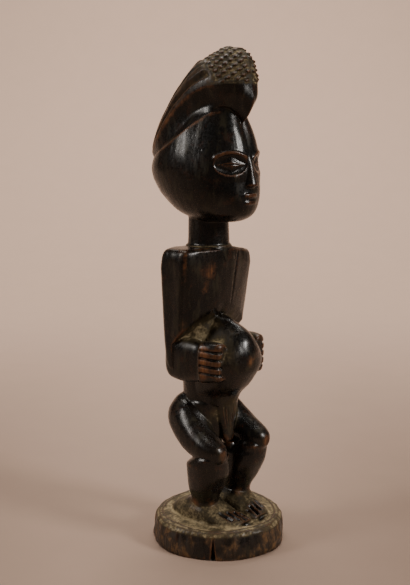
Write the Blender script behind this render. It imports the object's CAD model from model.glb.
import math

import bmesh
import bpy
import numpy as np
from mathutils import Matrix, Vector


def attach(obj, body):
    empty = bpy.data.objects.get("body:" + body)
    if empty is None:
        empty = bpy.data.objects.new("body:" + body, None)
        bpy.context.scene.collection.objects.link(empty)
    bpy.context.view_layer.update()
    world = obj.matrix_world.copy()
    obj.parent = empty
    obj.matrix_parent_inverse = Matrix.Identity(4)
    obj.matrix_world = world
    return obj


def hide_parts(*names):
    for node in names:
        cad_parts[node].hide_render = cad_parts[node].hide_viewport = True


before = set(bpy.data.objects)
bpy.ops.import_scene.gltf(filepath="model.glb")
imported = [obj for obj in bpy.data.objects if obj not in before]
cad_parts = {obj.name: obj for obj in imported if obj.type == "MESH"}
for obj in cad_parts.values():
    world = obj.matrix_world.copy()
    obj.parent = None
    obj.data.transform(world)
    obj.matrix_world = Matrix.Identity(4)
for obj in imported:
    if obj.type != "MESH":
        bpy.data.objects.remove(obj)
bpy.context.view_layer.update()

mm = 0.001
baseHeight = 15.5  # heights below are in millimetres above the base's top, and f runs forwards


def carvedPoint(x, f, z):
    return (x * mm, -f * mm, (z + baseHeight) * mm)


def easedRows(rows, steps):
    rows = np.array(rows, float)
    places, values = rows[:, 0], rows[:, 1:]
    rises = np.diff(values, axis=0) / np.diff(places)[:, None]
    slopes = np.zeros_like(values)
    slopes[0], slopes[-1] = rises[0], rises[-1]
    total = rises[:-1] + rises[1:]
    product = rises[:-1] * rises[1:]
    slopes[1:-1] = np.where(product > 0, 2 * product / np.where(total == 0, 1, total), 0)
    made = []
    for k in range(len(rows) - 1):
        gap = places[k + 1] - places[k]
        for t in np.arange(steps) / steps:
            value = (
                (2 * t**3 - 3 * t**2 + 1) * values[k]
                + (t**3 - 2 * t**2 + t) * gap * slopes[k]
                + (3 * t**2 - 2 * t**3) * values[k + 1]
                + (t**3 - t**2) * gap * slopes[k + 1]
            )
            made.append([places[k] + t * gap, *value])
    made.append(list(rows[-1]))
    return np.array(made)


def evenRows(rows, steps):
    return easedRows([(k, *row) for k, row in enumerate(rows)], steps)[:, 1:]


def smoothStep(low, high, value):
    t = np.clip((value - low) / (high - low), 0, 1)
    return t * t * (3 - 2 * t)


def band(value, low, full, stillFull, high):
    # 1 from full to stillFull, fading to 0 at low and at high
    return smoothStep(low, full, value) * smoothStep(high, stillFull, value)


def latticeNoise(points, size, seed):
    p = points / size + seed * 17.31
    cell = np.floor(p).astype(np.int64)
    t = p - cell
    t = t * t * (3 - 2 * t)
    total = np.zeros(len(points))
    for corner in range(8):
        step = np.array([corner & 1, corner >> 1 & 1, corner >> 2 & 1])
        key = cell + step
        mixed = (key[:, 0] * 73856093) ^ (key[:, 1] * 19349663) ^ (key[:, 2] * 83492791) ^ (seed * 9176)
        mixed = (mixed ^ (mixed >> 13)) * 1274126177
        value = ((mixed ^ (mixed >> 16)) & 65535) / 32767.5 - 1
        total += value * np.prod(np.where(step == 1, t, 1 - t), axis=1)
    return total


def layeredNoise(points, size, seed, layers=3):
    total = sum(latticeNoise(points, size / 2**k, seed + k) / 2**k for k in range(layers))
    return total / sum(1 / 2**k for k in range(layers))


def blurred(values, edges, rounds, share=0.5):
    values = np.array(values, float)
    flat = values.ndim == 1
    values = values[:, None] if flat else values
    ends = np.concatenate([edges[:, 0], edges[:, 1]])
    others = np.concatenate([edges[:, 1], edges[:, 0]])
    count = len(values)
    degree = np.bincount(ends, minlength=count).clip(1)[:, None]
    for _ in range(rounds):
        mean = np.stack([np.bincount(ends, column[others], count) for column in values.T], 1) / degree
        values = values + (mean - values) * share
    return values[:, 0] if flat else values


def lineGap(points, line):
    line = np.array(line, float)
    lengths = np.linalg.norm(np.diff(line, axis=0), axis=1)
    starts = np.concatenate([[0], np.cumsum(lengths)])
    best = np.full(len(points), np.inf)
    along = np.zeros(len(points))
    for a, b, start, length in zip(line, line[1:], starts, lengths):
        way = (b - a) / length
        t = np.clip((points - a) @ way, 0, length)
        gap = np.linalg.norm(points - a - t[:, None] * way, axis=1)
        nearer = gap < best
        best[nearer] = gap[nearer]
        along[nearer] = (start + t[nearer]) / starts[-1]
    return best, along


def groove(points, line, width, depth, fade=0.12):
    gap, along = lineGap(points, line)
    ends = smoothStep(0, fade, along) * smoothStep(0, fade, 1 - along)
    return depth * ends * np.clip(1 - gap / width, 0, 1) ** 1.3


def newObject(name, data):
    made = bpy.data.objects.new(name, data)
    bpy.context.scene.collection.objects.link(made)
    return made


def evaluatedMesh(owner):
    return bpy.data.meshes.new_from_object(owner.evaluated_get(bpy.context.evaluated_depsgraph_get()))


def addNode(tree, kind, inputs, **settings):
    node = tree.nodes.new(kind)
    for name, value in settings.items():
        setattr(node, name, value)
    for key, value in inputs.items():
        if isinstance(value, bpy.types.NodeSocket):
            tree.links.new(value, node.inputs[key])
        else:
            node.inputs[key].default_value = value
    return node


wood = bpy.data.materials.new("patinatedWood")

# the carved forms are closed shells, which a fine remesh joins into one solid
shells = bmesh.new()


def addShell(rings):
    loops = [[shells.verts.new(carvedPoint(*point)) for point in ring] for ring in rings]
    count = len(loops[0])
    faces = [
        shells.faces.new((low[k], low[(k + 1) % count], high[(k + 1) % count], high[k]))
        for low, high in zip(loops, loops[1:])
        for k in range(count)
    ]
    faces += [shells.faces.new(loops[0]), shells.faces.new(loops[-1])]
    bmesh.ops.recalc_face_normals(shells, faces=faces)


def ovalRing(centre, across, front, halfAcross, halfFront, squareness, count=72):
    turn = np.arange(count) * 2 * math.pi / count
    c, s = np.cos(turn), np.sin(turn)
    power = 2 / squareness
    c, s = np.sign(c) * abs(c) ** power, np.sign(s) * abs(s) ** power
    return np.array(centre) + np.outer(c * halfAcross, across) + np.outer(s * halfFront, front)


def levelShell(rows, squareness=2.0, side=0, steps=6):
    addShell([
        ovalRing((x * side, f, z), (1, 0, 0), (0, 1, 0), wide, deep, squareness)
        for z, x, f, wide, deep in easedRows(rows, steps)
    ])


def forwardShell(rows, squareness, side, steps=6):
    addShell([
        ovalRing((x * side, f, z), (1, 0, 0), (0, 0, 1), wide, high, squareness)
        for f, x, z, wide, high in easedRows(rows, steps)
    ])


def limbShell(rows, squareness, side, steps=6):
    rows = np.array(rows, float)
    along = np.concatenate([[0], np.cumsum(np.linalg.norm(np.diff(rows[:, :3], axis=0), axis=1))])
    path = easedRows(np.column_stack([along, rows]), steps)[:, 1:]
    ways = np.gradient(path[:, :3], axis=0)
    rings = []
    for row, way in zip(path, ways):
        way = way / np.linalg.norm(way)
        across = np.array([1.0, 0, 0]) - way[0] * way
        across /= np.linalg.norm(across)
        ring = ovalRing(row[:3], across, np.cross(way, across), row[3], row[4], squareness)
        rings.append(ring * (side, 1, 1))
    addShell(rings)


base = {
    "radius": 38.4,
    "edgeWear": 1.2,
    "rows": ((0, 0.985), (0.12, 1), (0.5, 0.988), (0.85, 0.965), (1, 0.95)),
}
foot = {
    "squareness": 2.3,
    "rows": (
        (-22, 11.4, 0.2, 4, 1.6), (-20.6, 11.8, 0.3, 7, 4.2), (-12, 12.4, 0.4, 9.8, 8.6),
        (-3, 12.6, 0.5, 11, 12), (5, 12, 0.5, 11, 11.6), (11, 10.8, 0.5, 10.4, 8.2),
        (15, 10, 0.5, 9.9, 5.6), (20, 9.2, 0.5, 9.2, 4), (25, 7.8, 0.5, 7.4, 2.6),
        (26.8, 7, 0.5, 5.2, 1.6),
    ),
}
leg = {
    "squareness": 2.3,
    "thigh": (
        (8, -12, 63, 9, 10), (10.4, -13.2, 61, 10, 11.2),
        (12.8, -12.8, 58.4, 10.8, 12), (15, -9, 54.8, 10.4, 11.6),
        (16.8, -4.6, 51.2, 9.8, 10.8), (18.4, 3, 46.6, 9, 9.4), (18.9, 10, 43.8, 8.4, 8.2),
        (19, 15, 42.7, 7.2, 6.8), (19, 18.6, 42.3, 5.2, 5), (19, 20.4, 42.2, 2.6, 2.6),
    ),
    "calf": (
        (2, 13.6, 1.6, 7.2, 8), (11, 13.8, 1.8, 7.5, 7.8), (20, 15, 4, 10.4, 9.6),
        (30, 16.1, 6.2, 11.9, 11.4), (34.4, 16.7, 6.6, 11.9, 11.6),
        (36.4, 17.1, 7.6, 11.3, 10.6), (39.5, 17.6, 10.4, 10, 8.8), (42.5, 18.2, 12, 6.8, 6),
    ),
    "innerKnee": (
        (26, 11, 0.5, 4, 4), (32, 10.4, 0.3, 5.2, 4.6), (38, 9.8, 0.3, 5.4, 4.6),
        (40.4, 9.8, 0.6, 4.2, 3.6),
    ),
}
middle = {
    "squareness": {"hips": 2.3, "lap": 2.3, "groin": 2.6, "belly": 2.0},
    "hips": (
        (46, 0, -7, 6, 5), (50, 0, -9, 11.6, 9.5), (56, 0, -9.6, 16, 12.6),
        (62, 0, -8.6, 16.6, 14), (68, 0, -7.2, 15.8, 14.2), (74, 0, -6.4, 16, 15),
        (84, 0, -7, 17, 14.6), (100, 0, -9, 17.4, 11.6), (117, 0, -10, 17, 10),
    ),
    "lap": (
        (43, 0, 0, 6, 3), (47, 0, -1, 11, 5.8), (53, 0, -2.4, 14.6, 8.4),
        (60, 0, -4.2, 16, 10.6), (67, 0, -5.4, 16.4, 12.2), (71, 0, -5.6, 14, 10.4),
    ),
    "groin": (
        (42.6, 0, 5.8, 1.8, 1.8), (45.4, 0, 6, 3.8, 3), (51, 0, 4.4, 5.6, 4.4),
        (58, 0, 3.4, 7.6, 5.4), (66, 0, 2.6, 9, 6.4),
    ),
    "belly": (
        (66, 0, -5.4, 14.6, 14.6), (72, 0, -3.2, 15.4, 15.4), (78.6, 0, 1.5, 17.1, 17.1),
        (83.7, 0, 4.8, 18.4, 17), (89, 0, 7.6, 19.4, 17), (93, 0, 8.4, 19.6, 16.8),
        (97, 0, 8.4, 18, 16.8), (104.1, 0, 7.6, 13.6, 16), (108.9, 0, 6, 9.8, 14.4),
        (113.2, 0, 3.6, 6.6, 10.4), (116.4, 0, 1, 4.4, 6), (117.6, 0, 0, 2.4, 2.2),
    ),
}
torso = {
    "shoulder": 157,
    "bottom": 88,
    "waistShare": 0.86,
    "leftDrop": 3.3,
    # across, front, back, top, ledge height and ledge front, from the middle outwards
    "half": (
        (0, 4.9, -18.6, 157, 118.6, 1.6), (5, 4.7, -19.8, 157, 117, 1.2),
        (10.4, 4, -20.2, 157, 114.6, -0.4), (14, 3.3, -20.4, 157, 113, -1.8),
        (20, 2.2, -21.2, 157, 109.4, -5), (25.6, 0.6, -20.8, 156.8, 105, -9.4),
        (27.8, -1, -19.4, 155.6, 103.4, -10.6), (28.8, -4.2, -17.6, 152.2, 103, -10.8),
    ),
}
forearm = {
    "height": 94.6,
    "squareness": 3,
    "fingerWidth": 4.3,
    "rows": (
        (-21.6, 18, -0.2, 3.4, 6.4), (-20.4, 18.4, -1.2, 5.2, 10.2), (-16.6, 18.7, -1.6, 5.9, 11.8),
        (-7, 18.9, -1.4, 5.9, 12.6), (5.2, 18.6, -0.7, 5.5, 11.6), (6, 18.6, -0.6, 6.2, 12),
        (9.6, 18, -0.3, 5.9, 11.7), (13, 17.3, 0, 5.3, 11.2), (15.6, 16.6, 0, 4.7, 10.8),
        (17.2, 15.6, 0, 3.4, 9.8),
    ),
}
# the neck's rows are heights, and what is added to its radius there
neck = {"forward": -8.6, "radius": 11.9, "rows": ((150, 1.2), (157, 1.2), (158.4, 0), (184, -0.5))}
head = {
    "squareness": 2.15,
    "skull": (
        (171.6, -0.6, 9, 13), (173.4, -1, 13.2, 18.2), (177, -3, 17.6, 24.2),
        (182, -5.5, 20.8, 28.3), (188, -8.3, 23.2, 31.3), (194, -10.5, 24.5, 32.9),
    ),
    # bearing from straight back, and how far the crest's wall is hollowed there
    "bearings": (
        (0, 0), (10, 0.4), (23, 1.4), (39, 2.6), (60, 4), (82, 5),
        (103, 4.6), (121, 3.6), (143, 1.4), (160, -1.6), (171, -3.8),
        (180, -4.6),
    ),
    "hairline": (
        (0, -46.4, 200), (6.2, -45, 202), (12.4, -40.2, 205),
        (18, -33.2, 208), (22, -24, 211.6), (23.2, -14.5, 216.4),
        (21.2, -6.5, 222.2), (17.2, -1, 227), (12.2, 5.8, 231.2),
        (7.6, 11.6, 232), (3.8, 14.8, 229), (0, 16, 224.4),
    ),
    "edge": (
        (0, -50.6, 205), (4.6, -49.2, 207.6), (8.4, -44.6, 211.6),
        (12, -37.4, 217.4), (14.8, -28, 226), (16, -19, 233.4),
        (16.2, -8.2, 240.4), (15.4, 3.6, 244.8), (13.6, 11.8, 245.4),
        (9.6, 18.8, 245.6), (5, 22.4, 245.8), (0, 23.4, 245.8),
    ),
    "top": (
        (-50.2, 207.4), (-50, 211.4), (-48.4, 217), (-44.8, 225.4),
        (-38.4, 235.4), (-29, 246.4), (-16, 257.6), (-2, 264.6),
        (6, 267), (10, 266.8), (12.8, 265.8), (14, 265),
    ),
    "steps": 12,
    "rim": 0.9,
}
cap = {
    "levels": 64,
    "ridgeRise": 1.2,
    # grooves behind the pad: share of the way up, half width as a share, depth
    "grooves": ((0.24, 0.08, 2.6), (0.5, 0.04, 1.4), (0.72, 0.075, 2.3), (0.9, 0.035, 1.3)),
    "padBackAtEdge": 9.6, "padBackAtTop": -12.5, "padSunk": 0.9, "padRim": 1.9,
    "studPitch": 3.35, "studStep": 3.9, "studTilt": 60, "studWidth": 3.2, "studHeight": 1.5,
    "studCrease": 0.45, "studUnevenness": 0.16, "studSink": 0.95, "studSeed": 4,
    # where studs may stand: the fineness of the search, and how far from the pad's borders
    "searchSteps": 24, "searchLevels": 96, "searchMiss": 0.02,
    "studInset": 1.6, "studAboveRim": 1.0, "studAside": 0.9,
}


def makeBase():
    turn = np.arange(144) * 2 * math.pi / 144
    rings = []
    for height, share in easedRows(base["rows"], 5):
        uneven = 1 + 0.014 * np.sin(3 * turn + 1.1) + 0.009 * np.sin(7 * turn + height * 2)
        worn = base["edgeWear"] * smoothStep(0.86, 1.0, height)
        reach = (base["radius"] - worn) * share * uneven
        level = np.full(len(turn), (height - 1) * baseHeight)
        rings.append(np.column_stack([reach * np.sin(turn), reach * np.cos(turn), level]))
    addShell(rings)


def makeTorso():
    half = easedRows(torso["half"], 7)
    mirrored = half[:0:-1] * (-1, 1, 1, 1, 1, 1)
    rings = []
    for across, front, back, top, ledge, lip in np.concatenate([mirrored, half]):
        inner = min(lip - 2.4, -7.0)
        section = np.array([
            (inner, torso["bottom"]), (back + 2.4, torso["bottom"]), (back + 0.4, torso["bottom"] + 4),
            (back, 104), (back, 122), (back, 145), (back + 0.8, top - 2.8), (back + 3.6, top),
            (-9.0, top), (front - 2.0, top), (front - 0.3, top - 1.6), (front, top - 8),
            (front * 0.85 + lip * 0.15, 132), (front * 0.62 + lip * 0.38, ledge + 7),
            (lip, ledge + 0.9), (lip - 0.9, ledge), (inner, ledge - 1.0),
        ])
        narrow = torso["waistShare"] + (1 - torso["waistShare"]) * np.minimum(1, (section[:, 1] - 84) / 62)
        drop = torso["leftDrop"] * np.clip((across - 5) / 19, 0, 1)
        section[:, 1] -= drop * np.maximum(0, (section[:, 1] - 118) / (torso["shoulder"] - 118))
        rings.append(np.column_stack([across * narrow, section]))
    addShell(rings)


def makeHead():
    steps = head["steps"]
    names = ("bearings", "hairline", "edge", "top")
    bearings, hairline, edge, top = (evenRows(head[name], steps) for name in names)
    turn = np.radians(bearings[:, 0])
    out = np.column_stack([np.sin(turn), -np.cos(turn), np.zeros(len(turn))])
    halves = []
    power = head["squareness"]
    for z, forward, wide, deep in easedRows(head["skull"], 5):
        reach = ((abs(out[:, 0]) / wide) ** power + (abs(out[:, 1]) / deep) ** power) ** (-1 / power)
        halves.append(out * reach[:, None] + (0, forward, z))
    widest = halves[-1]
    for share in np.arange(1, 31) / 30:
        point = widest + (hairline - widest) * share**1.7 + out * 1.3 * math.sin(math.pi * share)
        point[:, 2] = widest[:, 2] + (hairline[:, 2] - widest[:, 2]) * share
        halves.append(point)
    for share in np.concatenate([[0.02, 0.05], np.arange(2, 25) / 24]):
        rim = head["rim"] * smoothStep(0, 0.03, share) * (1 - smoothStep(0.35, 0.65, share))
        hollow = bearings[:, 1] * math.sin(math.pi * share**0.8) + rim
        halves.append(hairline + (edge - hairline) * share - out * hollow[:, None])
    halves += capRings(edge, top)
    rings = []
    for half in halves:
        half = np.array(half)
        half[0, 0] = half[-1, 0] = 0
        rings.append(np.concatenate([half, half[-2:0:-1] * (-1, 1, 1)]))
    addShell(rings)


def capSurface(edge, top, shares):
    # plain points of the crest's cap, from its edge up to its top line
    rings = []
    for share in shares:
        rise, inwards = math.sin(share * math.pi / 2), 1 - math.cos(share * math.pi / 2)
        x = np.maximum(edge[:, 0] * (1 - inwards), 0.5 if share > 0.9 else 0)
        f = edge[:, 1] + (top[:, 0] - edge[:, 1]) * inwards
        z = edge[:, 2] + (top[:, 1] - edge[:, 2]) * rise
        rings.append(np.column_stack([x, f, z]))
    return np.array(rings)


def capOutward(plain, edge):
    heart = np.stack([np.zeros(len(edge)), edge[:, 1] * 0.8, edge[:, 2] - 6], 1)[None]
    way = plain - heart
    return way / np.linalg.norm(way, axis=2)[:, :, None]


def padInside(plain, share):
    back = cap["padBackAtEdge"] + (cap["padBackAtTop"] - cap["padBackAtEdge"]) * share
    return plain[:, :, 1] - back


def capGrid(edge, top, levels):
    # the cap's plain points, their share of the way up, and the distance up to them
    shares = np.arange(0, levels + 1) / levels
    plain = capSurface(edge, top, shares)
    up = np.linalg.norm(np.diff(plain, axis=0, prepend=plain[:1]), axis=2).cumsum(axis=0)
    return plain, shares[:, None] * np.ones((1, len(edge))), up


def capRings(edge, top):
    plain, share, up = capGrid(edge, top, cap["levels"])
    inside = padInside(plain, share)
    pad = smoothStep(0.9, 1.7, inside) * smoothStep(cap["padRim"], cap["padRim"] + 0.8, up)
    start = smoothStep(2, 12, np.arange(len(edge)))[None, :]
    behind = smoothStep(0.4, 2.4, -inside) * start
    cut = sum(deep * np.clip(1.1 - abs(share - place) / half, 0, 1) for place, half, deep in cap["grooves"])
    raised = cap["ridgeRise"] * np.sin(share * math.pi / 2)
    carved = cap["padSunk"] * pad + behind * (cut - raised)
    return list((plain - capOutward(plain, edge) * carved[:, :, None])[1:])


def studPlaces():
    # the pad's lattice: rows run slantwise over the cap, on both sides of its top line
    edge, top = (evenRows(head[name], cap["searchSteps"]) for name in ("edge", "top"))
    plain, share, up = capGrid(edge, top, cap["searchLevels"])
    gaps = np.linalg.norm(np.diff(plain, axis=1), axis=2)[:, ::-1].cumsum(axis=1)
    around = np.concatenate([gaps[:, ::-1], np.zeros((len(plain), 1))], axis=1)
    inside = padInside(plain, share)
    outward = capOutward(plain, edge)
    tilt = math.radians(cap["studTilt"])
    across = (around * math.cos(tilt) + up * math.sin(tilt)) / cap["studPitch"]
    along = (up * math.cos(tilt) - around * math.sin(tilt)) / cap["studStep"]
    usable = (inside > cap["studInset"]) & (up > cap["padRim"] + cap["studAboveRim"])
    found, normals = [], []
    for column in range(math.floor(across.min()), math.ceil(across.max()) + 1):
        for row in range(math.floor(along.min()), math.ceil(along.max()) + 1):
            miss = (across - column - 0.5) ** 2 + (along - row - 0.5) ** 2
            place = np.unravel_index(np.argmin(miss), miss.shape)
            fits = miss[place] < cap["searchMiss"] and usable[place]
            if fits and plain[place][0] > cap["studAside"]:
                for side in (1, -1):
                    sunk = plain[place] - outward[place] * cap["studSink"]
                    found.append(sunk * (side, 1, 1))
                    normals.append(outward[place] * (side, 1, 1))
    return np.array(found), np.array(normals)


def studTree():
    # one rounded stud on each point of the pad, leaning with the pad's surface
    tree = bpy.data.node_groups.new("crestPadStuds", "GeometryNodeTree")
    tree.is_modifier = True
    sockets = tree.interface
    sockets.new_socket("Geometry", in_out="INPUT", socket_type="NodeSocketGeometry")
    sizes = {}
    for name in ("Stud Width", "Stud Height", "Unevenness"):
        sizes[name] = sockets.new_socket(name, in_out="INPUT", socket_type="NodeSocketFloat").identifier
    sizes["Seed"] = sockets.new_socket("Seed", in_out="INPUT", socket_type="NodeSocketInt").identifier
    sockets.new_socket("Geometry", in_out="OUTPUT", socket_type="NodeSocketGeometry")
    given = tree.nodes.new("NodeGroupInput").outputs
    block = addNode(tree, "GeometryNodeMeshCube", {}).outputs["Mesh"]
    inputs = {"Mesh": block, "Level": 2, "Edge Crease": cap["studCrease"]}
    rounded = addNode(tree, "GeometryNodeSubdivisionSurface", inputs).outputs["Mesh"]
    inputs = {"X": given["Stud Width"], "Y": given["Stud Width"], "Z": given["Stud Height"]}
    size = addNode(tree, "ShaderNodeCombineXYZ", inputs).outputs["Vector"]
    shaped = addNode(tree, "GeometryNodeTransform", {"Geometry": rounded, "Scale": size})
    lean = addNode(tree, "GeometryNodeInputNamedAttribute", {"Name": "lean"}, data_type="FLOAT_VECTOR")
    inputs = {"Vector": lean.outputs["Attribute"]}
    turned = addNode(tree, "FunctionNodeAlignRotationToVector", inputs, axis="Z").outputs["Rotation"]
    least = addNode(tree, "ShaderNodeMath", {0: 1.0, 1: given["Unevenness"]}, operation="SUBTRACT")
    inputs = {2: least.outputs["Value"], 3: 1.0, "Seed": given["Seed"]}
    uneven = addNode(tree, "FunctionNodeRandomValue", inputs, data_type="FLOAT").outputs[1]
    inputs = {
        "Points": given["Geometry"], "Instance": shaped.outputs["Geometry"],
        "Rotation": turned, "Scale": uneven,
    }
    scattered = addNode(tree, "GeometryNodeInstanceOnPoints", inputs).outputs["Instances"]
    realized = addNode(tree, "GeometryNodeRealizeInstances", {"Geometry": scattered}).outputs["Geometry"]
    coated = addNode(tree, "GeometryNodeSetMaterial", {"Geometry": realized, "Material": wood})
    addNode(tree, "NodeGroupOutput", {"Geometry": coated.outputs["Geometry"]})
    return tree, sizes


def makeStuds():
    places, normals = studPlaces()
    dots = bpy.data.meshes.new("studDots")
    dots.from_pydata([carvedPoint(*place) for place in places], [], [])
    lean = dots.attributes.new("lean", "FLOAT_VECTOR", "POINT")
    lean.data.foreach_set("vector", (normals * (1, -1, 1)).ravel())
    holder = newObject("studDots", dots)
    tree, sizes = studTree()
    maker = holder.modifiers.new("studs", "NODES")
    maker.node_group = tree
    maker[sizes["Stud Width"]] = cap["studWidth"] * mm
    maker[sizes["Stud Height"]] = cap["studHeight"] * mm
    maker[sizes["Unevenness"]] = cap["studUnevenness"]
    maker[sizes["Seed"]] = cap["studSeed"]
    studs = evaluatedMesh(holder)
    holder.modifiers.clear()
    bpy.data.objects.remove(holder)
    shells.from_mesh(studs)
    print("studs on the crest's pad:", len(places))


def makeLimbs(side):
    forwardShell(foot["rows"], foot["squareness"], side)
    limbShell(leg["thigh"], leg["squareness"], side)
    for part in ("calf", "innerKnee"):
        levelShell(leg[part], leg["squareness"], side)
    arm = [(f, x, forearm["height"] + rise, wide, high) for f, x, rise, wide, high in forearm["rows"]]
    forwardShell(arm, forearm["squareness"], side)


def makeNeck():
    levelShell([
        (z, 0, neck["forward"], neck["radius"] + more, neck["radius"] + more) for z, more in neck["rows"]
    ])


face = {
    "front": 22.8, "eyeHeight": 203.5, "eyeAcross": 10.6, "mouthHeight": 184.5,
    "squareness": {"nose": 2.4, "lip": 2.6},
    # up from the eyes, forwards from the face's front, half width, half depth
    "nose": (
        (-12.6, -3.6, 3, 3.6), (-11.4, -2.2, 4.2, 6), (-8, -2.2, 3.4, 5), (0, -3, 2.4, 3.8),
        (6, -4.4, 3.2, 3.4), (9, -6.8, 4.6, 3.4),
    ),
    # up from the lip's underside, back from the face's front, half width, half depth
    "lip": ((0, 5, 4.6, 3.6), (1, 4.4, 6.4, 5), (2.4, 4.4, 6.2, 5), (3.4, 5, 4.6, 3.6)),
    # the lower and the upper lip: height of the underside from the mouth, and reach forwards
    "lips": ((-3.5, 0.3), (0.5, 0.8)),
}


def makeFace():
    levelShell([
        (face["eyeHeight"] + z, 0, face["front"] + f, wide, deep) for z, f, wide, deep in face["nose"]
    ], face["squareness"]["nose"])
    for low, reach in face["lips"]:
        levelShell([
            (face["mouthHeight"] + low + z, 0, face["front"] - back + reach, wide, deep)
            for z, back, wide, deep in face["lip"]
        ], face["squareness"]["lip"])


print("forms")
makeBase()
for side in (1, -1):
    makeLimbs(side)
for part, squareness in middle["squareness"].items():
    levelShell(middle[part], squareness)
makeTorso()
makeNeck()
makeHead()
makeStuds()
makeFace()

print("remesh")
shaping = {
    "voxel": 0.42, "triangles": 190000,
    # rounds of blurring for the whole figure, and for the shoulders and the chest's hollow
    "smoothRounds": 2, "softRounds": 80, "hollowShare": 0.75,
}
shellMesh = bpy.data.meshes.new("shells")
shells.to_mesh(shellMesh)
shells.free()
shellObject = newObject("shells", shellMesh)
joiner = shellObject.modifiers.new("joiner", "REMESH")
joiner.mode = "VOXEL"
joiner.voxel_size = shaping["voxel"] * mm * 1
denseMesh = evaluatedMesh(shellObject)
bpy.data.objects.remove(shellObject)
print("points after the remesh:", len(denseMesh.vertices))

print("carve")


def meshPoints(mesh):
    flat = np.empty(len(mesh.vertices) * 3)
    mesh.vertices.foreach_get("co", flat)
    return flat.reshape(-1, 3) / mm


def meshNormals(mesh):
    flat = np.empty(len(mesh.vertices) * 3, np.float32)
    mesh.vertex_normals.foreach_get("vector", flat)
    return flat.reshape(-1, 3).astype(float)


def meshEdges(mesh):
    flat = np.empty(len(mesh.edges) * 2, np.int32)
    mesh.edges.foreach_get("vertices", flat)
    return flat.reshape(-1, 2)


def setPoints(mesh, points):
    mesh.vertices.foreach_set("co", (points * mm).ravel())
    mesh.update()


fourBetweenFive = (-1.5, -0.5, 0.5, 1.5)  # the grooves between five fingers or toes
carving = {
    # a finger's groove: across, forwards, and up from its middle
    "fingerLine": ((25.0, 6.4, 0.7), (22.6, 13.0, 0.0), (21.2, 15.7, -0.3), (16.6, 17.5, -0.5)),
    "fingerWide": 1.15, "fingerDeep": 1.5,
    "toeMiddle": 8.0, "toePitch": 4.0, "toeWide": 1.8, "toeDeep": 3.0, "leftToes": 0.6,
    # a toe's slit: aside and forwards from its back end, and height
    "toeLine": ((1.0, -1.0, 4.6), (0.0, 4.0, 4.0), (-0.8, 8.5, 2.4)), "toeBack": 17.2, "toeSlant": 1.9,
    # the raised rim round each foot, as x and f
    "footRim": ((13, -26.5), (17.4, -18), (20.6, -8), (22.4, 3), (22.0, 13), (18, 22), (11.5, 28), (3, 31)),
    "rimWide": 1.6, "rimRise": 0.75, "rimCut": 1.3,
    "rightChest": 0.35,
    "groin": ((6.0, 66), (3.6, 67), (1.2, 66)), "groinWide": 1.0, "groinDeep": 0.7,
    "hairLift": 1.5, "hairWide": 1.3, "hairDeep": 0.9,
    "crackTurn": 53, "crackWide": 2.4, "crackDeep": 9, "crackTop": 0.8, "crackCut": 3.6,
    "barkDepth": 0.8, "chipDepth": 1.1, "chipsMoreLeft": 1.5, "topMarks": 0.3, "ringRise": 0.45,
    "toolMarks": 0.22,
}
# single lines: points, width, depth, and the box round them
cutLines = {
    "wrist": (((24.6, 5.6, 104), (24.9, 5.2, 95), (24.4, 6, 84)), 0.9, 0.4, ((17, 2, 82), (27, 9, 107))),
    "chest": (((12.4, 4.0, 156), (9.0, 4.4, 141), (5.6, 4.0, 118)), 1.2, 0.9, ((2, -3, 116), (16, 9, 158))),
    "armBehind": (((12.6, -20.8, 157), (11.6, -20.2, 110)), 1.5, 1.2, ((8, -25, 108), (16, -15, 159))),
    "spine": (((0.0, -20.0, 150), (0.0, -19.6, 92)), 2.4, 0.8, ((-1, -25, 86), (5, -12, 156))),
}


def bothSides(points):
    # the points with x made positive, for carving that both sides have
    return np.column_stack([abs(points[:, 0]), points[:, 1], points[:, 2]])


def nearBox(points, low, high):
    return np.all((points > np.array(low)) & (points < np.array(high)), axis=1)


def carveLine(depth, points, line, width, deep, box, fade=0.1):
    # adds a V-shaped cut along a line, worked out only inside a box round it
    chosen = nearBox(points, *box)
    depth[chosen] = np.maximum(depth[chosen], groove(points[chosen], line, width, deep, fade))


def carveHands(depth, points):
    half = bothSides(points)
    for k in fourBetweenFive:
        z = forearm["height"] + k * forearm["fingerWidth"]
        line = [(x, f, z + up) for x, f, up in carving["fingerLine"]]
        box = ((14, 4, z - 3), (27, 20, z + 3))
        carveLine(depth, half, line, carving["fingerWide"], carving["fingerDeep"], box, 0.05)
    carveLine(depth, half, *cutLines["wrist"])


def carveTorso(depth, points):
    half = bothSides(points)
    chest = np.zeros(len(points))
    carveLine(chest, half, *cutLines["chest"])
    depth += chest * np.where(points[:, 0] > 0, 1, carving["rightChest"])
    carveLine(depth, half, *cutLines["armBehind"])
    carveLine(depth, half, *cutLines["spine"])


def carveFeet(depth, points):
    # wide slits between the toes, then a raised rim with a groove inside it round each foot
    half = bothSides(points)
    slits, raised, cut = np.zeros((3, len(points)))
    for k in fourBetweenFive:
        x = carving["toeMiddle"] + k * carving["toePitch"]
        back = carving["toeBack"] - k * carving["toeSlant"]
        line = [(x + aside, back + ahead, z) for aside, ahead, z in carving["toeLine"]]
        box = ((x - 4, back - 4, -1), (x + 4, 34, 9))
        carveLine(slits, half, line, carving["toeWide"], carving["toeDeep"], box, 0.08)
    rim = [(x, f, 0.1) for x, f in carving["footRim"]]
    inner = [(x * 0.92, f * 0.93 - 0.3, 0.1) for x, f in carving["footRim"]]
    box = ((-1, -30, -1.2), (30, 34, 2.6))
    carveLine(raised, half, rim, carving["rimWide"], carving["rimRise"], box, 0.04)
    carveLine(cut, half, inner, carving["rimWide"], carving["rimCut"], box, 0.04)
    slits *= np.where(points[:, 0] > 0, carving["leftToes"], 1)
    depth += np.maximum(slits, cut) - raised
    return np.maximum(slits, cut * 0.7), raised


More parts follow.
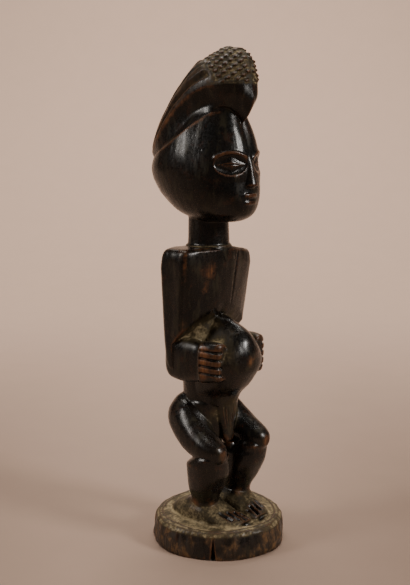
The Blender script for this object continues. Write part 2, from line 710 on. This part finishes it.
def carveGroin(depth, points):
    half = bothSides(points)
    box = ((-1, 3, 42), (12, 14, 70))
    for x, z in carving["groin"]:
        line = ((x + 1.5, 8, z), (x * 0.25, 10, 44))
        carveLine(depth, half, line, carving["groinWide"], carving["groinDeep"], box)


def carveHair(depth, points, hairline):
    # one cut just above the hairline
    lifted = hairline + np.array([0, 0, carving["hairLift"]])
    box = ((-1, -54, 198), (27, 22, 236))
    carveLine(depth, bothSides(points), lifted, carving["hairWide"], carving["hairDeep"], box, 0.01)


eye = {
    "swing": 27, "forward": 17.5, "socket": (9.4, 5.6), "lozenge": (7.0, 3.3),
    "lidPlace": 1.12, "lidWidth": 0.1, "slitHeight": 0.45, "browHeight": 6.6, "browBend": 0.035,
    "socketDeep": 2.1, "eyeRise": 1.7, "slitDeep": 0.5, "lidRise": 0.45, "browRise": 0.7,
}


def carveEyes(points):
    # shallow sockets with a raised lozenge in each; what rises counts as a negative depth
    half = bothSides(points)
    swing = math.radians(eye["swing"])
    aside, ahead = half[:, 0] - face["eyeAcross"], half[:, 1] - eye["forward"]
    across = aside * math.cos(swing) - ahead * math.sin(swing)
    up = half[:, 2] - face["eyeHeight"]
    front = smoothStep(4, 8, half[:, 1]) * smoothStep(15, 12, abs(across))
    wide, high = eye["socket"]
    socket = np.clip(1 - (across / wide) ** 2 - (up / high) ** 2, 0, 1) ** 0.55
    wide, high = eye["lozenge"]
    lozenge = abs(across) / wide + abs(up) / high
    raised = np.clip(1 - lozenge, 0, 1) ** 0.45
    lid = np.exp(-(((lozenge - eye["lidPlace"]) / eye["lidWidth"]) ** 2))
    slit = np.clip(1 - abs(up) / eye["slitHeight"], 0, 1) * smoothStep(5.2, 4.2, abs(across))
    arch = up - eye["browHeight"] + eye["browBend"] * across**2
    brow = np.exp(-(arch**2)) * smoothStep(10.5, 8.5, abs(across))
    deep = (
        eye["socketDeep"] * socket - eye["eyeRise"] * raised + eye["slitDeep"] * slit
        - eye["lidRise"] * lid - eye["browRise"] * brow
    )
    return front * deep, front * (lid + raised * 0.6)


def crackDepth(points):
    turn = math.radians(-carving["crackTurn"])
    out = np.array([math.sin(turn), math.cos(turn)])
    away = abs(points[:, 0] * out[1] - points[:, 1] * out[0])
    facing = points[:, 0] * out[0] + points[:, 1] * out[1]
    height = (points[:, 2] + baseHeight) / baseHeight
    wide = carving["crackWide"] * np.clip(1 - height / 0.95, 0.05, 1) * 0.62
    here = (facing > base["radius"] - carving["crackDeep"]) & (height < carving["crackTop"])
    cut = np.clip(1.15 - away / wide, 0, 1) * carving["crackCut"] * np.clip(1 - height, 0.15, 1)
    return np.where(here, cut, 0)


def softened(points, edges):
    # the shoulders' corners and the hollow under the chest, rounder than their shells
    smooth = blurred(points, edges, shaping["softRounds"])
    height, aside, behind = points[:, 2] - baseHeight, abs(points[:, 0]), points[:, 1]
    shoulders = band(height, 146, 153, 159, 163) * smoothStep(18, 24, aside)
    recess = band(height, 98, 104, 117, 124) * band(aside, 2, 5, 20, 25) * band(behind, -15, -9, 6, 12)
    return points + (smooth - points) * np.maximum(shoulders, shaping["hollowShare"] * recess)[:, None]


print("points and normals")
edges = meshEdges(denseMesh)
points = softened(blurred(meshPoints(denseMesh), edges, shaping["smoothRounds"]), edges)
setPoints(denseMesh, points)
normals = meshNormals(denseMesh) * (1, -1, 1)
points = points * (1, -1, 1) - (0, 0, baseHeight)  # from here on x, forwards, and above the base's top
print("cuts")
hairline, crestEdge = (evenRows(head[name], 4) for name in ("hairline", "edge"))
depth = np.zeros(len(points))
carveHands(depth, points)
cutShade = np.clip(depth / carving["fingerDeep"], 0, 1)
carveTorso(depth, points)
slits, footRims = carveFeet(depth, points)
carveGroin(depth, points)
carveHair(depth, points, hairline)
eyes, lids = carveEyes(points)
crack = crackDepth(points)
depth += eyes + crack
for cut, darkAt in ((slits, 1.5), (crack, 1.2)):
    cutShade = np.maximum(cutShade, np.clip(cut / darkAt, 0, 1))

# where the base's side, underside and top are, and a faint ring cut near the top's edge
radius = np.hypot(points[:, 0], points[:, 1])
onSide = smoothStep(33.5, 36.5, radius) * smoothStep(0.6, -1.6, points[:, 2])
onFloor = smoothStep(-14.6, -15.3, points[:, 2])
onTop = band(points[:, 2], -1.5, -0.2, 1.6, 3.6) * smoothStep(0.5, 0.8, normals[:, 2])
ringWave = 0.5 * np.sin(5 * np.arctan2(points[:, 0], points[:, 1]))
ringed = np.exp(-(((radius - 33.0 - ringWave) / 0.7) ** 2))
print("tool marks")
bark = layeredNoise(points * (1, 1, 0.34), 5.0, 11) + 0.5 * layeredNoise(points * (1, 1, 0.25), 2.2, 21, 2)
chips = smoothStep(0.1, 0.5, layeredNoise(points, 9, 31, 2)) * smoothStep(-9, -15, points[:, 2])
marks = layeredNoise(points * (1, 1, 0.55), 7.0, 41, 2)
marks += 0.4 * layeredNoise(points * (1, 1, 0.22), 2.2, 51, 2)
imageLeft = smoothStep(-10, 25, -0.68 * points[:, 0] - 0.73 * points[:, 1])
chipDepth = carving["chipDepth"] + carving["chipsMoreLeft"] * imageLeft
depth += onSide * (1 - onFloor) * (carving["barkDepth"] * bark + chipDepth * chips)
depth += onTop * (carving["topMarks"] * layeredNoise(points, 4, 61, 2) - carving["ringRise"] * ringed)
depth += (1 - onSide) * (1 - onTop) * carving["toolMarks"] * marks
depth *= 1 - onFloor
carved = points - normals * depth[:, None]
carved[:, 2] = np.where(onFloor > 0.5, -baseHeight, np.maximum(carved[:, 2], -baseHeight))
setPoints(denseMesh, (carved + (0, 0, baseHeight)) * (1, -1, 1))

print("wear and dust")


def spotted(points, spots):
    # soft spots painted at places given as x, f, z, radius and strength
    total = np.zeros(len(points))
    for x, f, z, size, strength in spots:
        middle, reach = np.array((x, f, z)), 3 * size
        near = nearBox(points, middle - reach, middle + reach)
        gap = np.linalg.norm(points[near] - (x, f, z), axis=1)
        total[near] = np.maximum(total[near], strength * np.exp(-((gap / size) ** 2)))
    return total


def lined(points, line, size, strength, box):
    total = np.zeros(len(points))
    near = nearBox(points, *box)
    gap, _ = lineGap(points[near], line)
    total[near] = strength * np.exp(-((gap / size) ** 2))
    return total


wear = {
    "spots": (
        (-19, 20, 42, 4.2, 0.62), (19, 20, 42, 4.6, 0.62), (-1.5, 25, 95, 4.2, 0.55),
        (-12, 4, 143, 6.5, 0.58),
        (-14.5, 3, 134, 5.0, 0.46), (12, 4, 146, 4.5, 0.2), (-21.0, 1, 9.5, 5.0, 0.75),
        (-16, 10, 9.5, 4.0, 0.55), (17.0, 10, 10, 5.0, 0.6), (8, 9, 10, 4.0, 0.6), (0, 10.5, 43, 3.0, 0.5),
        (-28, -1, 104, 4.0, 0.35),
    ),
    "shoulderLine": ((27.4, -0.6, 112), (27.8, -0.4, 150), (26.5, -1.5, 154)),
    "shoulder": 0.42, "hairline": 0.52, "crestEdge": 0.55, "hands": 0.8, "lids": 0.2, "cap": 0.36,
}
half = bothSides(carved)
height = carved[:, 2]
headBox = ((-1, -56, 196), (28, 28, 252))
shoulderBox = ((22, -8, 106), (32, 6, 160))
behindBrow = smoothStep(14, 4, carved[:, 1])  # the worn lines of the hair fade towards the brow
onHands = nearBox(half, (21, 6.2, 83), (27, 19, 106)) * smoothStep(5.6, 8, carved[:, 1])
painted = np.max([
    spotted(carved, wear["spots"]),
    behindBrow * lined(half, hairline - (0, 0, 0.8), 1.5, wear["hairline"], headBox),
    behindBrow * lined(half, crestEdge, 1.7, wear["crestEdge"], headBox),
    lined(half, wear["shoulderLine"], 1.8, wear["shoulder"], shoulderBox),
    wear["hands"] * onHands * smoothStep(21, 23.5, half[:, 0]),
    wear["lids"] * np.clip(lids, 0, 1),
], axis=0)

dusty = {
    "spots": (
        (-14, -2, 108, 9, 1.0), (14, -2, 108, 9, 1.0), (-9, 3, 114, 6, 1.0), (9, 3, 114, 6, 1.0),
        (-20, -6, 106, 6, 0.9), (20, -6, 106, 6, 0.9), (-13, 10, 104, 9, 0.95), (13, 10, 104, 9, 0.95),
        (-12, 17, 97, 8, 0.8), (-5, 12, 108, 6, 0.7), (0, 8, 66, 11, 0.72), (-9, 6, 60, 8, 0.66),
        (9, 6, 60, 8, 0.66),
        (0, 6, 50, 8, 0.58), (-17, -8, 72, 8, 0.4), (17, -8, 72, 8, 0.4), (0, -46, 206, 8, 0.3),
        (0, 20, 78, 9, 0.3),
    ),
    "baseTop": 0.82, "feet": 0.78, "aroundFeet": 0.8, "onRims": 0.5, "baseEdge": 0.85,
    "collar": 0.8, "collarOut": 0.9, "collarWidth": 0.6, "cap": 0.56, "onPad": 0.12, "crestEdge": 1.1,
}
aroundFeet = dusty["aroundFeet"] + dusty["onRims"] * footRims
onGround = np.max([
    spotted(carved, dusty["spots"]),
    dusty["baseTop"] * band(height, -1.6, -0.6, 0.6, 2.5),
    dusty["feet"] * band(height, -1, 0, 8, 13),
    aroundFeet * smoothStep(-1.5, 0, height) * (height < 3),
], axis=0)
collar = np.hypot(carved[:, 0], carved[:, 1] - neck["forward"]) - neck["radius"] - dusty["collarOut"]
collarLine = np.exp(-((collar / dusty["collarWidth"]) ** 2))
order = np.argsort(crestEdge[:, 1])
aboveEdge = height - np.interp(carved[:, 1], crestEdge[order, 1], crestEdge[order, 2])
onCap = smoothStep(-0.5, 1.5, aboveEdge) * (height > 204)
onPad = smoothStep(8, 11, carved[:, 1] + 1.05 * aboveEdge)
painted = np.maximum(painted, wear["cap"] * onCap * (1 - onPad))
inFront = smoothStep(-2, 6, carved[:, 1])
baseRim = smoothStep(33.5, 35, radius) * smoothStep(-4.2, -2.0, height) * (height < 2)
dust = np.max([
    onGround * (1 - np.clip(slits * 1.2, 0, 1)),
    dusty["collar"] * collarLine * band(height, 155, 156.5, 158.6, 160),
    (dusty["cap"] + dusty["onPad"] * onPad) * onCap,
    dusty["crestEdge"] * inFront * lined(half, crestEdge + (0, 0, 1.1), 1.1, 0.75, headBox),
    dusty["baseEdge"] * baseRim,
], axis=0)

# how far each point stands out from its near and from its wider surroundings
ridges = {"nearRounds": 8, "farRounds": 50, "nearRise": 0.12, "farRise": 0.6}
nearMean = blurred(carved, edges, ridges["nearRounds"])
farMean = blurred(nearMean, edges, ridges["farRounds"])
fine = -np.einsum("ij,ij->i", nearMean - carved, normals) / ridges["nearRise"]
wide = -np.einsum("ij,ij->i", farMean - carved, normals) / ridges["farRise"]
values = {
    "wear": np.clip(painted, 0, 1),
    "ridge": np.clip(0.6 * fine + 0.5 * wide, -1, 1),
    "dust": np.clip(dust, 0, 1),
    "bare": onSide,
    "shade": cutShade,
}
for name, amounts in values.items():
    layer = denseMesh.attributes.new(name, "FLOAT", "POINT")
    layer.data.foreach_set("value", amounts.astype(np.float32))

print("lighter mesh")
figure = newObject("carvedFigure", denseMesh)
lighter = figure.modifiers.new("lighter", "DECIMATE")
lighter.ratio = shaping["triangles"] / (len(denseMesh.polygons) * 2)
finishedMesh = evaluatedMesh(figure)
figure.modifiers.clear()
figure.data = finishedMesh
figure.data.polygons.foreach_set("use_smooth", [True] * len(figure.data.polygons))
print("faces:", len(figure.data.polygons), "attributes:", [a.name for a in figure.data.attributes])

print("wood")


def mixed(tree, amount, first, second):
    return addNode(tree, "ShaderNodeMix", {0: amount, 6: first, 7: second}, data_type="RGBA").outputs[2]


def blended(tree, amount, first, second):
    return addNode(tree, "ShaderNodeMix", {0: amount, 2: first, 3: second}).outputs[0]


def combined(tree, operation, first, second):
    return addNode(tree, "ShaderNodeMath", {0: first, 1: second}, operation=operation).outputs[0]


def scaled(tree, value, factor):
    return combined(tree, "MULTIPLY", value, factor)


def stepped(tree, value, low, high):
    inputs = {"Value": value, "From Min": low, "From Max": high}
    return addNode(tree, "ShaderNodeMapRange", inputs, interpolation_type="SMOOTHSTEP").outputs[0]


def noisy(tree, place, scale, detail=3, roughness=0.6):
    inputs = {"Vector": place, "Scale": scale, "Detail": detail, "Roughness": roughness}
    return addNode(tree, "ShaderNodeTexNoise", inputs).outputs["Fac"]


def stretched(tree, place, scale):
    return addNode(tree, "ShaderNodeMapping", {"Vector": place, "Scale": scale}).outputs["Vector"]


def attribute(tree, name):
    return addNode(tree, "ShaderNodeAttribute", {}, attribute_name=name).outputs["Fac"]


woodLook = {
    "darkest": (0.0026, 0.0021, 0.0017, 1), "dark": (0.0080, 0.0052, 0.0034, 1),
    "olive": (0.0210, 0.0165, 0.0078, 1), "redBrown": (0.026, 0.0095, 0.0042, 1),
    "worn": (0.105, 0.034, 0.0115, 1), "wornPale": (0.25, 0.100, 0.032, 1),
    "dustOlive": (0.056, 0.040, 0.0175, 1), "dustPale": (0.40, 0.312, 0.178, 1),
    "bareDark": (0.022, 0.0125, 0.0058, 1), "barePale": (0.135, 0.068, 0.024, 1),
    "coat": 0.12, "coatRoughness": 0.22,
    # noise scales, and how the grain is drawn out along the block
    "blotches": 60, "patches": 150, "streaks": 210, "flecks": 260, "grain": 900, "fineGrain": 2200,
    "specks": 750, "bareness": 95,
    "grainStretch": (1, 1, 0.14), "streakStretch": (1, 1, 0.3), "fleckStretch": (1, 1, 0.6),
}


def finishWood():
    wood.use_nodes = True
    tree = wood.node_tree
    shader = tree.nodes["Principled BSDF"]
    place = addNode(tree, "ShaderNodeTexCoord", {}).outputs["Object"]
    alongGrain = stretched(tree, place, woodLook["grainStretch"])
    blotches = noisy(tree, place, woodLook["blotches"], 4)
    patches = noisy(tree, place, woodLook["patches"], 5, 0.68)
    streakPlace = stretched(tree, place, woodLook["streakStretch"])
    streaks = noisy(tree, streakPlace, woodLook["streaks"], 4, 0.65)
    grain = noisy(tree, alongGrain, woodLook["grain"], 3)
    fineGrain = noisy(tree, alongGrain, woodLook["fineGrain"], 2)
    specks = noisy(tree, place, woodLook["specks"], 3)
    names = ("wear", "ridge", "dust", "bare", "shade")
    wearMark, ridge, dust, bare, shade = (attribute(tree, name) for name in names)
    patchShift = combined(tree, "SUBTRACT", patches, 0.5)

    patina = mixed(tree, stepped(tree, blotches, 0.36, 0.66), woodLook["darkest"], woodLook["dark"])
    reddish = scaled(tree, stepped(tree, patches, 0.53, 0.68), 0.8)
    patina = mixed(tree, reddish, patina, woodLook["redBrown"])
    greenish = scaled(tree, stepped(tree, streaks, 0.50, 0.65), 0.85)
    patina = mixed(tree, greenish, patina, woodLook["olive"])
    flecks = noisy(tree, stretched(tree, place, woodLook["fleckStretch"]), woodLook["flecks"], 5, 0.7)
    side = mixed(tree, stepped(tree, flecks, 0.46, 0.64), woodLook["bareDark"], woodLook["barePale"])
    bareness = noisy(tree, place, woodLook["bareness"], 4)
    bareAmount = scaled(tree, bare, stepped(tree, bareness, 0.38, 0.58))
    patina = mixed(tree, bareAmount, patina, side)

    edge = combined(tree, "ADD", ridge, scaled(tree, patchShift, 0.9))
    edge = stepped(tree, edge, 0.3, 0.95)
    uneven = combined(tree, "ADD", wearMark, scaled(tree, patchShift, 1.1))
    worn = stepped(tree, uneven, 0.2, 0.9)
    worn = combined(tree, "MAXIMUM", worn, scaled(tree, edge, 0.4))
    wornColour = mixed(tree, stepped(tree, grain, 0.35, 0.7), woodLook["worn"], woodLook["wornPale"])
    surface = mixed(tree, worn, patina, wornColour)

    hollow = stepped(tree, ridge, -0.15, -0.75)
    settled = combined(tree, "ADD", dust, scaled(tree, hollow, 0.18))
    settled = combined(tree, "ADD", settled, scaled(tree, patchShift, 0.75))
    cleaned = scaled(tree, combined(tree, "MAXIMUM", ridge, 0.0), 0.28)
    settled = combined(tree, "SUBTRACT", settled, cleaned)
    speckShift = combined(tree, "SUBTRACT", specks, 0.5)
    settled = combined(tree, "ADD", settled, scaled(tree, speckShift, 0.6))
    dusted = stepped(tree, settled, 0.22, 0.95)
    thick = stepped(tree, settled, 0.6, 1.2)
    paleness = scaled(tree, thick, stepped(tree, patches, 0.3, 0.55))
    dustColour = mixed(tree, paleness, woodLook["dustOlive"], woodLook["dustPale"])
    surface = mixed(tree, scaled(tree, dusted, 0.9), surface, dustColour)
    surface = mixed(tree, scaled(tree, shade, 0.9), surface, woodLook["darkest"])
    tree.links.new(surface, shader.inputs["Base Color"])

    rough = blended(tree, stepped(tree, specks, 0.3, 0.7), 0.22, 0.36)
    rough = blended(tree, greenish, rough, 0.38)
    rough = blended(tree, worn, rough, 0.42)
    rough = blended(tree, bareAmount, rough, 0.62)
    rough = blended(tree, dusted, rough, 0.8)
    tree.links.new(rough, shader.inputs["Roughness"])
    tree.links.new(blended(tree, dusted, 0.4, 0.14), shader.inputs["Specular IOR Level"])
    shader.inputs["Coat Weight"].default_value = woodLook["coat"]
    shader.inputs["Coat Roughness"].default_value = woodLook["coatRoughness"]

    normal = None
    for height, strength, distance in (
        (streaks, 0.4, 0.0005), (grain, 0.25, 0.0002), (fineGrain, 0.2, 0.00008), (specks, 0.15, 0.0002),
    ):
        inputs = {"Height": height, "Strength": strength, "Distance": distance}
        if normal:
            inputs["Normal"] = normal
        normal = addNode(tree, "ShaderNodeBump", inputs).outputs["Normal"]
    tree.links.new(normal, shader.inputs["Normal"])


finishWood()
figure.data.materials.clear()
figure.data.materials.append(wood)

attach(figure, "root")
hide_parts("figure")

print("studio")
studio = {
    "turn": 47, "tilt": 9.76, "height": 0.2392, "away": 0.543, "shift": 0.0083,
    "sensor": 36, "lens": 965 * 36 / 585,
    # each light: place, size, watts, colour and target; places are across, towards the camera, up
    "lights": {
        "key": ((1.2, 0.65, 0.92), (0.32, 0.4), 17, (1.0, 0.95, 0.90), (0, 0, 0.13)),
        "left": ((-1.1, 0.35, 0.75), (0.25, 0.6), 7.5, (1.0, 0.94, 0.88), (0, 0, 0.13)),
        "above": ((-0.1, -0.15, 1.5), (0.7, 0.5), 11, (1.0, 0.95, 0.89), (0, 0, 0.13)),
        "backdrop": ((0.0, -0.75, 1.3), (1.2, 0.4), 29, (1.0, 0.95, 0.89), (0, -1.6, 0.25)),
    },
    "room": (0.9, 0.85, 0.8, 1), "roomStrength": 0.07,
}


def setCamera():
    turn, tilt = math.radians(studio["turn"]), math.radians(studio["tilt"])
    right = Vector((math.cos(turn), -math.sin(turn), 0))
    ahead = Vector((math.sin(turn), math.cos(turn), 0))
    place = -ahead * studio["away"] - right * studio["shift"] + Vector((0, 0, studio["height"]))
    look = ahead * math.cos(tilt) - Vector((0, 0, 1)) * math.sin(tilt)
    matrix = Matrix((right, right.cross(look), -look)).transposed().to_4x4()
    matrix.translation = place
    data = bpy.data.cameras.new("camera")
    data.sensor_fit = "VERTICAL"
    data.sensor_height = studio["sensor"]
    data.lens = studio["lens"]
    camera = newObject("camera", data)
    camera.matrix_world = matrix
    bpy.context.scene.camera = camera
    return right, ahead


right, ahead = setCamera()


def addLight(name, place, size, watts, colour, target):
    data = bpy.data.lights.new(name, "AREA")
    data.shape = "RECTANGLE"
    data.size, data.size_y = size
    data.energy = watts
    data.color = colour
    lamp = newObject(name, data)
    ends = [right * across - ahead * near + Vector((0, 0, up)) for across, near, up in (place, target)]
    lamp.location = ends[0]
    lamp.rotation_euler = (ends[1] - ends[0]).to_track_quat("-Z", "Y").to_euler()


for name, settings in studio["lights"].items():
    addLight(name, *settings)

world = bpy.data.worlds.new("softRoom")
world.use_nodes = True
room = world.node_tree.nodes["Background"].inputs
room["Color"].default_value = studio["room"]
room["Strength"].default_value = studio["roomStrength"]
bpy.context.scene.world = world

sweep = {
    "near": -2.6, "back": 1.5, "radius": 0.7, "height": 3.2, "half": 3.4, "bendSteps": 16,
    "light": (0.415, 0.290, 0.222, 1), "dark": (0.12, 0.075, 0.05, 1), "roughness": 0.9,
}


def makeFloor():
    # a sheet of warm paper that sweeps up behind the figure, darker towards the camera
    bend = sweep["back"] - sweep["radius"]
    profile = [(sweep["near"], 0.0), (bend, 0.0)]
    for k in range(1, sweep["bendSteps"] + 1):
        angle = k / sweep["bendSteps"] * math.pi / 2
        rise = sweep["radius"] * (1 - math.cos(angle))
        profile.append((bend + sweep["radius"] * math.sin(angle), rise))
    profile.append((sweep["back"], sweep["height"]))
    bm = bmesh.new()
    rows = []
    for depth, height in profile:
        rows.append([
            bm.verts.new(right * across + ahead * depth + Vector((0, 0, height)))
            for across in (-sweep["half"], sweep["half"])
        ])
    for low, high in zip(rows, rows[1:]):
        bm.faces.new((low[0], low[1], high[1], high[0]))
    mesh = bpy.data.meshes.new("floor")
    bm.to_mesh(mesh)
    bm.free()
    mesh.polygons.foreach_set("use_smooth", [True] * len(mesh.polygons))
    floor = newObject("floor", mesh)
    paper = bpy.data.materials.new("warmPaper")
    paper.use_nodes = True
    paperShader = paper.node_tree.nodes["Principled BSDF"]
    tree = paper.node_tree
    place = addNode(tree, "ShaderNodeTexCoord", {}).outputs["Object"]
    along, sideways, high = (
        addNode(tree, "ShaderNodeVectorMath", {0: place, 1: way}, operation="DOT_PRODUCT").outputs["Value"]
        for way in (ahead, right, (0, 0, 1))
    )
    nearness = stepped(tree, along, 0.75, -0.35)
    offMiddle = combined(tree, "ABSOLUTE", combined(tree, "ADD", sideways, 0.03), 0)
    dimmed = scaled(tree, stepped(tree, offMiddle, 0.03, 0.19), 0.45)
    dimmed = scaled(tree, combined(tree, "ADD", dimmed, 0.38), nearness)
    upper = scaled(tree, stepped(tree, high, 0.12, 0.7), 0.24)
    dimmed = combined(tree, "MAXIMUM", dimmed, upper)
    fibres = scaled(tree, noisy(tree, place, 30, 4), 0.08)
    dimmed = combined(tree, "ADD", dimmed, fibres)
    colour = mixed(tree, dimmed, sweep["light"], sweep["dark"])
    tree.links.new(colour, paperShader.inputs["Base Color"])
    paperShader.inputs["Roughness"].default_value = sweep["roughness"]
    mesh.materials.append(paper)


makeFloor()
